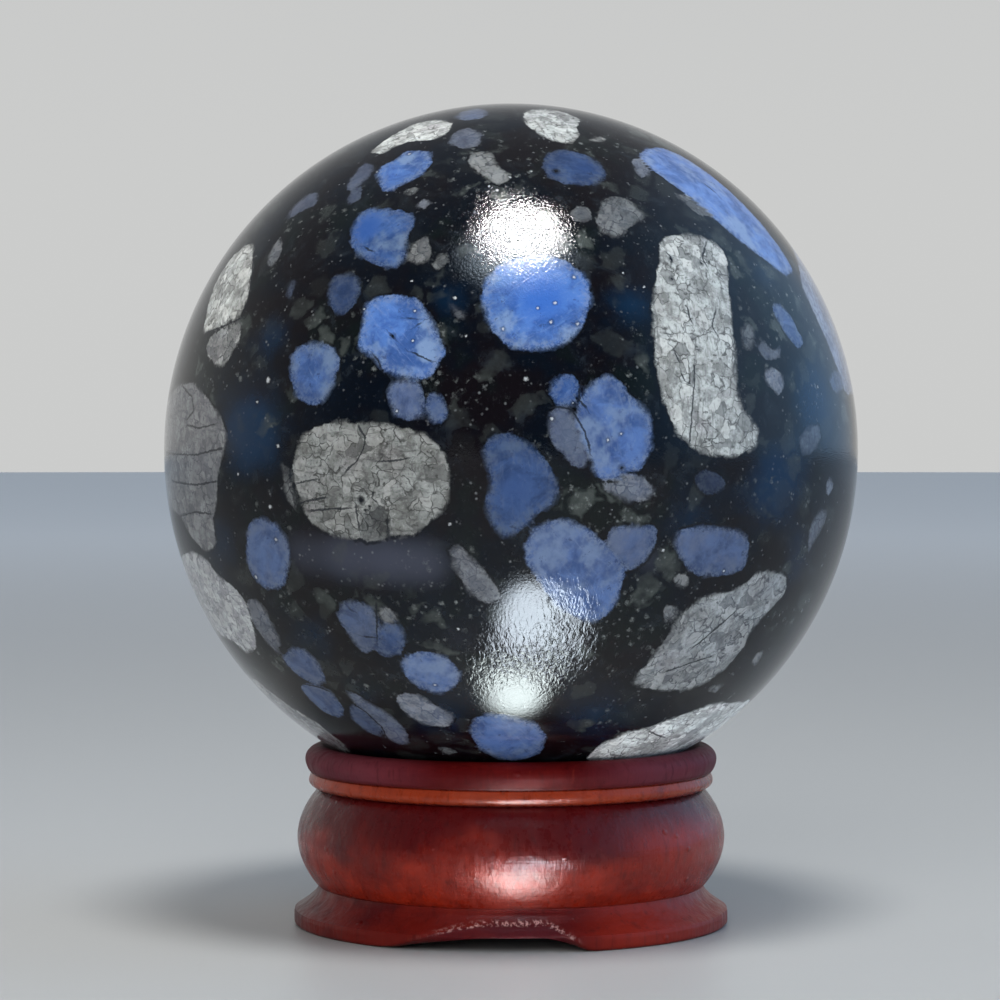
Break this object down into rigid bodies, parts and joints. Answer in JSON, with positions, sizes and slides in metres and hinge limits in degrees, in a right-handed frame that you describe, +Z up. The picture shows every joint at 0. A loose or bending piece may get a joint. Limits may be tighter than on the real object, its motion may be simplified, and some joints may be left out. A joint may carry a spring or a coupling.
{
  "type": "decorative stone sphere on a ring stand",
  "caption": "Polished dark stone sphere with blue and pale crystals, resting in a turned red lacquered wooden ring stand.",
  "frame": {"origin": "on the ground under the middle of the stand", "axes": "+Z up through the stand and the sphere, -Y towards the pictured front, +X to that view's right"},
  "size_m": [0.065, 0.065, 0.0768],
  "materials": {
    "polished_stone": "polished, blue-black with blue and pale grey crystals",
    "red_lacquer": "turned, stained dark red and lacquered"
  },
  "bodies": {
    "root": {"stone_sphere": "polished_stone", "wooden_stand": "red_lacquer"}
  },
  "joints": []
}
